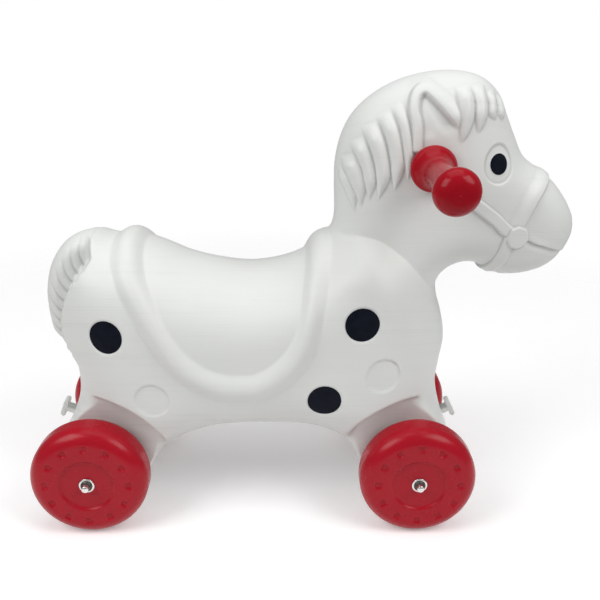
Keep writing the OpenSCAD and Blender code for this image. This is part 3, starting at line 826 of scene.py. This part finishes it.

# The crease value sets the painted shade in the carved valleys: how far the carving lies below its
# surroundings.
carved = np.pad(fine.reshape(COLUMNS + 1, ROWS + 1), CREASE_MARGIN, mode="edge")
carved = (four_round(carved, 1) + 2*carved[1:-1, 1:-1])/6
crease = np.clip((four_round(carved, 2)/4 - carved[2:-2, 2:-2])/CREASE_FULL, 0, 1).ravel()
valley_shade = body.data.attributes.new("crease", "FLOAT", "POINT")
valley_shade.data.foreach_set("value", np.concatenate([crease, crease[~rim]]))
settle(body, "chassis", "body_plastic", "body_shell")
print(len(skin_points), "points on the body, carving from", lift.min(), "to", lift.max())

# %% [markdown]
# A tow cleat on each leg pair is a T that stands out of the moulding: a stem with a bar across it.
# A child's pull cord is looped round it. Its outline is drawn flat, stretched across its width, and
# its long edges are bevelled, because a moulding has no sharp edges.

# %% Tow cleats
CLEATS = {"front": ((0.621, 0.075), 26), "rear": ((-0.612, 0.075), 160)}
CLEAT_ROOT, CLEAT_GAP, CLEAT_T, CLEAT_L, CLEAT_W = 22*MM, 7*MM, 6*MM, 22*MM, 14*MM
CLEAT_BEVEL = 1.1*MM


def cleat_outline():
    half, end = CLEAT_T/2, (CLEAT_L - CLEAT_T)/2
    middle_u = CLEAT_GAP + half
    turns = np.radians(np.linspace(180, 0, 9))
    top = [(middle_u + half*math.cos(a), end + half*math.sin(a)) for a in turns]
    half_t = [(-CLEAT_ROOT, half), (CLEAT_GAP, half), *top]
    return half_t + [(u, -w) for u, w in reversed(half_t)]


def cleat(end, share, angle):
    c, s = math.cos(math.radians(angle)), math.sin(math.radians(angle))
    x, z = place_share(share)
    shape = bmesh.new()
    ring = [shape.verts.new((x + u*c - w*s, -CLEAT_W/2, z + u*s + w*c)) for u, w in cleat_outline()]
    face = shape.faces.new(ring)
    grown = bmesh.ops.extrude_face_region(shape, geom=[face])["geom"]
    moved = [part for part in grown if isinstance(part, bmesh.types.BMVert)]
    bmesh.ops.translate(shape, verts=moved, vec=(0, CLEAT_W, 0))
    long_edges = [e for e in shape.edges if abs(e.verts[0].co.y - e.verts[1].co.y) < CLEAT_W/2]
    bmesh.ops.bevel(shape, geom=long_edges, offset=CLEAT_BEVEL, segments=4, profile=0.5, affect="EDGES")
    piece = shown(bpy.data.meshes.new(end + "_tow_cleat"), shape, body_finish)
    return settle(piece, "chassis", "body_plastic", "body_shell")


for end, (share, angle) in CLEATS.items():
    print(cleat(end, share, angle).name, "made")

# %% [markdown]
# The stickers are cut from thin vinyl and lie in the floors of their pockets, so they follow the
# curve of the skin. Rings of points are laid out on the seat, dropped onto the skin along Y and set
# a little above the pocket's floor. The outermost ring turns down to give the sticker its edge.

# %% Spots and pupils
STICKER_T = 0.6*MM
STICKER_RINGS, STICKER_TURNS = 14, 72
STICKER_FLAT_SHARE = 0.97
SPOT_PLAY = 0.15*MM
RIM_SHARES = (0.985, 1.0, 1.0)
RIM_LIFTS = (1.0, 0.8, 0.0)


def sticker(name, share, radii, depth, side_sign):
    middle_point, out, forward, up = seat(share)
    shares = np.concatenate([np.linspace(0, STICKER_FLAT_SHARE, STICKER_RINGS), RIM_SHARES])
    lifts = np.concatenate([np.ones(STICKER_RINGS), RIM_LIFTS])
    turns = np.linspace(0, 2*np.pi, STICKER_TURNS, endpoint=False)
    r, a = np.meshgrid(shares, turns, indexing="ij")
    flat = middle_point + (radii[0]*r*np.cos(a))[..., None]*forward + (radii[1]*r*np.sin(a))[..., None]*up
    flat = flat.reshape(-1, 3)
    width = skin_width(flat[:, [0, 2]])
    points = np.stack([flat[:, 0], -width, flat[:, 2]], axis=1)
    points += out*(np.repeat(lifts, STICKER_TURNS)*STICKER_T - depth(r.ravel()))[:, None]
    points[:, 1] *= -side_sign
    rings, n = len(shares), STICKER_TURNS
    faces = [
        (i*n + j, i*n + (j + 1) % n, (i + 1)*n + (j + 1) % n, (i + 1)*n + j)
        for i in range(1, rings - 1) for j in range(n)
    ]
    faces += [(0, n + (j + 1) % n, n + j) for j in range(n)]
    faces.append(tuple((rings - 1)*n + j for j in range(n)))
    used = np.r_[0, n:rings*n]
    renumber = {int(old): new for new, old in enumerate(used)}
    faces = [tuple(renumber[i] for i in face) for face in faces]
    return mesh_piece(name, points[used], faces, sticker_finish)


def spot_floor(r):
    return np.full_like(r, SPOT_DEPTH)


def pupil_floor(r):
    return EYE_DEPTH - EYE_CROWN*hump(r*PUPIL_R[0]/EYE_R[0])


for side_name, sign in SIDES.items():
    for spot_name, share in SPOTS.items():
        node = f"{spot_name}_{side_name}_spot"
        spot_piece = sticker(node + "_sticker", share, (SPOT_R - SPOT_PLAY,)*2, spot_floor, sign)
        settle(spot_piece, "chassis", "dark_sticker", node)
    node = f"{side_name}_pupil"
    pupil_piece = sticker(node + "_sticker", EYE, PUPIL_R, pupil_floor, sign)
    settle(pupil_piece, "chassis", "dark_sticker", node)
print("eight stickers laid")

# %% [markdown]
# Everything on the axles and the grips is turned, so one lathe serves them all: it spins a half
# section, given as radius and distance outwards, about the piece's own axis along Y. A turned
# piece may also be dented, by a function that gives a depth at each angle and radius.

# %% Lathe
ON_AXIS = 0.01*MM


def arc(middle_r, middle_h, radius, start, end, steps):
    turns = np.radians(np.linspace(start, end, steps))
    return [(middle_r + radius*math.cos(a), middle_h + radius*math.sin(a)) for a in turns]


def lathe(name, section, at, outwards, finish, turns, dent=None):
    """Spins a closed half section, whose points stay just off the axis."""
    section = np.array(section)
    angles = np.linspace(0, 2*np.pi, turns, endpoint=False)
    a, r = np.meshgrid(angles, section[:, 0], indexing="ij")
    h = np.broadcast_to(section[:, 1], r.shape)
    if dent is not None:
        h = h - dent(a, r, h)
    points = np.stack([at[0] + r*np.cos(a), at[1] + outwards*h, at[2] + r*np.sin(a)], axis=-1)
    n = len(section)
    i = np.arange(turns)[:, None]*n
    k = (np.arange(turns)[:, None] + 1) % turns*n
    j = np.arange(n)
    faces = np.stack([i + j, i + (j + 1) % n, k + (j + 1) % n, k + j], axis=-1).reshape(-1, 4)
    return mesh_piece(name, points.reshape(-1, 3), faces.tolist(), finish)


def ring_section(bore, outer, base, thick, edge):
    """A washer's half section with softly broken edges."""
    top = base + thick
    return [
        (bore, base), (outer - edge, base), (outer, base + edge), (outer, top - edge),
        (outer - edge, top), (bore + edge, top), (bore, top - edge),
    ]


print("lathe ready")

# %% [markdown]
# A wheel is a red moulding with a flat tread between large round shoulders. Its face has a ring of
# twelve soft dents and a shallow dish round the hub. The section follows the solid's sizes, with
# small fillets added at the dish, and the dents push the face in where it is spun.

# %% Wheels
WHEEL_R = AXLE_Z
WHEEL_W = 46*MM
SHOULDER_R = 17*MM
DISH_R, DISH_DEPTH, DISH_SOFT = 30*MM, 2.5*MM, 1.8*MM
AXLE_R = 4*MM
HUB_BORE, BORE_EDGE, DISH_BORE_EDGE = 4.1*MM, 0.6*MM, 0.8*MM
BACK_FROM, BACK_GAP, FACE_GAP = 4*MM, 1*MM, 0.5*MM
SHOULDER_STEPS = 20
DENTS = 12
DENT_R, DENT_LONG, DENT_WIDE, DENT_DEPTH = 45.5*MM, 9*MM, 11*MM, 1.9*MM
DENT_SOFT = 2.6*MM
DENT_WIDTH_SHARE, DENT_TAPER_SHARE = 0.85, 0.3
WHEEL_TURNS = 288


def wheel_section():
    face_r = WHEEL_R - SHOULDER_R
    floor_h = WHEEL_W - DISH_DEPTH
    section = [(HUB_BORE, BORE_EDGE), (HUB_BORE + BORE_EDGE, 0)]
    section += [(r, 0) for r in np.linspace(HUB_BORE + BACK_FROM, face_r - BACK_GAP, 6)]
    section += arc(face_r, SHOULDER_R, SHOULDER_R, -90, 0, SHOULDER_STEPS)
    section += arc(face_r, WHEEL_W - SHOULDER_R, SHOULDER_R, 0, 90, 2*SHOULDER_STEPS)
    section += [(r, WHEEL_W) for r in np.linspace(face_r - FACE_GAP, DISH_R + 3*DISH_SOFT, 26)]
    for t in np.linspace(0, 1, 12):
        section.append((DISH_R + DISH_SOFT*(1 - 2*t), WHEEL_W - DISH_DEPTH*ramp(t, 0, 1)))
    section += [(r, floor_h) for r in np.linspace(DISH_R - 2*DISH_SOFT, HUB_BORE + DISH_BORE_EDGE, 8)]
    return section + [(HUB_BORE, floor_h - BORE_EDGE)]


def wheel_dents(a, r, h):
    """Soft trapezoid dents in the outer face, wider at their outer end."""
    step = 2*np.pi/DENTS
    across = np.abs((a + step/2) % step - step/2)*r
    half = DENT_WIDE/2*(DENT_WIDTH_SHARE + DENT_TAPER_SHARE*(r - DENT_R)/DENT_LONG)
    sides = 1 - ramp(across, half - DENT_SOFT, half)
    ends = 1 - ramp(np.abs(r - DENT_R), DENT_LONG/2 - DENT_SOFT, DENT_LONG/2)
    return DENT_DEPTH*sides*ends*(h > WHEEL_W/2)


for end in ENDS:
    for side_name, sign in SIDES.items():
        node = f"{end}_{side_name}_wheel"
        low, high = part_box(node)
        inner_y = high[1] if sign < 0 else low[1]
        hub = ((low[0] + high[0])/2, inner_y, AXLE_Z)
        piece = lathe(node + "_moulding", wheel_section(), hub, sign, wheel_finish, WHEEL_TURNS, wheel_dents)
        settle(piece, node, "wheel_plastic", node)
        print(piece.name, len(piece.data.vertices), "points")

# %% [markdown]
# The hub hardware is bought-in steel: a rod with rounded tips across the toy, a spacer against the
# leg, a washer in the dish and a push nut that bites on the rod. The push nut is a dished disc, so
# its section rises in a small cone to the collar round the rod.

# %% Axles, spacers, washers and push nuts
TURNS = 64
TIP = 1.6*MM
RING_EDGE = 0.3*MM
NUT_BORE = AXLE_R + 0.05*MM
NUT_RIM = np.array([(0.4, 0), (0, 0.4), (0.3, 0.9), (1.6, 1.1)])*MM
NUT_COLLAR = np.array([(1.6, 0.2), (1, 0)])*MM


def rod_section(radius, half_length, tip):
    round_tip = arc(0, half_length - tip, radius, 0, 90, 9)
    return [(r, half_length - tip + (h - half_length + tip)*tip/radius) for r, h in round_tip]


def whole_rod(name, at, radius, half_length, tip, finish):
    tips = rod_section(radius, half_length, tip)
    half = [(max(r, ON_AXIS), h) for r, h in tips]
    section = [(r, -h) for r, h in reversed(half)] + half
    return lathe(name, section, at, 1, finish, TURNS)


def outward_base(node, sign):
    low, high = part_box(node)
    return (-high[1] if sign < 0 else low[1]), high[1] - low[1]


def outer_radius(node):
    low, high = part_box(node)
    return (high[0] - low[0])/2


def nut_section(outer, base, thick):
    """A dished disc: a thin rim that rises in a cone to a collar round the rod."""
    top = base + thick
    rim = [(outer - inwards, base + up) for inwards, up in NUT_RIM]
    collar = [(AXLE_R + outwards, top - down) for outwards, down in NUT_COLLAR]
    return [(NUT_BORE, base), *rim, *collar, (NUT_BORE, top)]


for end, hub in zip(ENDS, (front_hub, rear_hub)):
    at = (hub[0], 0, hub[2])
    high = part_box(end + "_axle")[1]
    rod = whole_rod(end + "_axle_rod", at, AXLE_R, high[1], TIP, bright_steel)
    settle(rod, "chassis", "steel", end + "_axle")
    for side_name, sign in SIDES.items():
        prefix = f"{end}_{side_name}_"
        for kind in ("spacer", "washer"):
            base, thick = outward_base(prefix + kind, sign)
            section = ring_section(HUB_BORE, outer_radius(prefix + kind), base, thick, RING_EDGE)
            ring = lathe(prefix + kind + "_ring", section, at, sign, bright_steel, TURNS)
            settle(ring, "chassis", "steel", prefix + kind)
        base, thick = outward_base(prefix + "nut", sign)
        section = nut_section(outer_radius(prefix + "nut"), base, thick)
        nut = lathe(prefix + "push_nut", section, at, sign, dark_steel, TURNS)
        settle(nut, "chassis", "steel", prefix + "nut")
print("axles and hub hardware turned")

# %% [markdown]
# Each grip is a spool: a thick flange against the cheek, a hollow waist for the hand and a flattened
# ball at the end. Its half section is a chain of arcs that meet smoothly, because a child's hand
# grip has no edge anywhere. The steel rod that carries both grips is hidden in the head.

# %% Grips and handle rod
GRIP_L = 132*MM
FLANGE_R, FLANGE_ROUND = 24*MM, 8*MM
WAIST_R = 14*MM
FLANGE_FLARE, KNOB_FLARE = 30*MM, 14*MM
KNOB_R, KNOB_ROUND = 22*MM, 15.5*MM
KNOB_CROWN = 0.6*MM
ROD_BORE, ROD_DEEP = 5.05*MM, 96.3*MM
GRIP_TURNS = 128


def grip_section():
    rim_r, rim_h = FLANGE_R - FLANGE_ROUND, FLANGE_ROUND
    ball_r, ball_h = KNOB_R - KNOB_ROUND, GRIP_L - KNOB_CROWN - KNOB_ROUND
    rim_step = WAIST_R + FLANGE_FLARE - rim_r
    rim_rise = math.sqrt((FLANGE_FLARE + FLANGE_ROUND)**2 - rim_step**2)
    ball_step = WAIST_R + KNOB_FLARE - ball_r
    ball_rise = math.sqrt((KNOB_FLARE + KNOB_ROUND)**2 - ball_step**2)
    rim_a = math.degrees(math.atan2(rim_rise, rim_step))
    ball_a = math.degrees(math.atan2(-ball_rise, ball_step))
    section = [(ROD_BORE, 0)]
    section += arc(rim_r, rim_h, FLANGE_ROUND, -90, rim_a, 24)
    section += arc(rim_r + rim_step, rim_h + rim_rise, FLANGE_FLARE, 180 + rim_a, 180, 24)
    section += arc(ball_r + ball_step, ball_h - ball_rise, KNOB_FLARE, 180, 180 + ball_a, 16)
    section += arc(ball_r, ball_h, KNOB_ROUND, ball_a, 90, 30)
    crown = [(ball_r*t, GRIP_L - KNOB_CROWN*t*t) for t in (0.75, 0.5, 0.25)]
    return section + crown + [(ON_AXIS, GRIP_L), (ON_AXIS, ROD_DEEP), (ROD_BORE, ROD_DEEP)]


for side_name, sign in SIDES.items():
    node = side_name + "_grip"
    base, length = outward_base(node, sign)
    axis = middle(node)
    at = (axis[0], sign*base, axis[2])
    spool = lathe(node + "_spool", grip_section(), at, sign, grip_finish, GRIP_TURNS)
    settle(spool, "chassis", "grip_plastic", node)
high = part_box("handle_rod")[1]
axis = middle("handle_rod")
rod_r = outer_radius("handle_rod")
rod = whole_rod("handle_cross_rod", (axis[0], 0, axis[2]), rod_r, high[1], TIP, bright_steel)
settle(rod, "chassis", "steel", "handle_rod")
print("grips turned,", round(length/MM), "mm long")

# %% [markdown]
# The toy stands on a pale sweep that runs out to white. The floor is a wide disc with a plain
# diffuse surface, so it takes the shadow. To the camera and in reflections it also glows a little,
# and far from the toy it fades out, so that no edge shows against the white background.

# %% Floor
FLOOR_R, FLOOR_RINGS, FLOOR_TURNS = 4.0, 12, 96
FLOOR_WHITE = (0.93, 0.93, 0.935, 1)
FLOOR_GLOW = 0.24
FLOOR_FADE = (0.42, 1.2)

turns = np.linspace(0, 2*np.pi, FLOOR_TURNS, endpoint=False)
floor_points = [(0, 0, 0)] + [
    (FLOOR_R*k/FLOOR_RINGS*math.cos(a), FLOOR_R*k/FLOOR_RINGS*math.sin(a), 0)
    for k in range(1, FLOOR_RINGS + 1) for a in turns
]
floor_faces = [(0, 1 + j, 1 + (j + 1) % FLOOR_TURNS) for j in range(FLOOR_TURNS)]
for k in range(FLOOR_RINGS - 1):
    for j in range(FLOOR_TURNS):
        inner, outer = 1 + k*FLOOR_TURNS, 1 + (k + 1)*FLOOR_TURNS
        nxt = (j + 1) % FLOOR_TURNS
        floor_faces.append((inner + j, outer + j, outer + nxt, inner + nxt))

floor_finish, shader, place = new_finish("pale_floor")
tree = floor_finish.node_tree
feed(shader, "Base Color", FLOOR_WHITE)
feed(shader, "Roughness", place.noise(40, 3)*0.1 + 0.8)
feed(shader, "Specular IOR Level", 0.1)
rays = tree.nodes.new("ShaderNodeLightPath")
seen = Flow(rays.outputs["Is Camera Ray"])
for kind in ("Is Glossy Ray", "Is Transmission Ray"):
    seen = seen + Flow(rays.outputs[kind])
seen = seen.clipped(0, 1)
glow = place.node("ShaderNodeEmission", {}, {"Color": (1, 1, 1, 1), "Strength": FLOOR_GLOW})
glowing = place.node("ShaderNodeAddShader", {}, {0: Flow(shader.outputs[0]), 1: glow})
clear = place.node("ShaderNodeBsdfTransparent", {}, {})
reach = place.node("ShaderNodeVectorMath", {"operation": "LENGTH"}, {0: place}, out="Value")
lit = place.node("ShaderNodeMixShader", {}, {0: seen, 1: Flow(shader.outputs[0]), 2: glowing})
faded = place.node("ShaderNodeMixShader", {}, {0: reach.clipped(*FLOOR_FADE), 1: lit, 2: clear})
tree.links.new(faded.socket, tree.nodes["Material Output"].inputs["Surface"])
floor = mesh_piece("floor_sweep", floor_points, floor_faces, floor_finish)
print("floor laid")

# %% [markdown]
# The background is white to the camera, and a weaker grey as a source of light and in reflections,
# so that the toy isn't over-lit. Three softboxes do the rest: one from the upper left, one from the
# upper right and a wide one overhead. Together they light a pale surface at about its own colour.

# %% World and lamps
FILL = 0.23
SOFTBOXES = {
    "left_softbox": ((-1.4, -0.9, 1.6), 1.2, 22),
    "right_softbox": ((1.4, -0.9, 1.7), 1.2, 22),
    "top_softbox": ((0.0, 0.1, 2.1), 1.6, 11.5),
}
AIM = np.array([0, 0, 0.22])

world = bpy.data.worlds.new("white_room")
bpy.context.scene.world = world
world.use_nodes = True
tree = world.node_tree
backdrop = tree.nodes["Background"]
rays = tree.nodes.new("ShaderNodeLightPath")
seen = Flow(rays.outputs["Is Camera Ray"])
backdrop.inputs["Color"].default_value = (1, 1, 1, 1)
strength = seen*(1 - FILL) + FILL
tree.links.new(strength.socket, backdrop.inputs["Strength"])

for name, (spot_at, size, watts) in SOFTBOXES.items():
    lamp = bpy.data.lights.new(name, "AREA")
    lamp.size = size
    lamp.energy = watts
    holder = bpy.data.objects.new(name, lamp)
    holder.location = spot_at
    holder.rotation_euler = Vector(AIM - np.array(spot_at)).to_track_quat("-Z", "Y").to_euler()
    bpy.context.scene.collection.objects.link(holder)
print(len(SOFTBOXES), "softboxes")

# %% Finish
bpy.context.scene.view_settings.view_transform = "Standard"
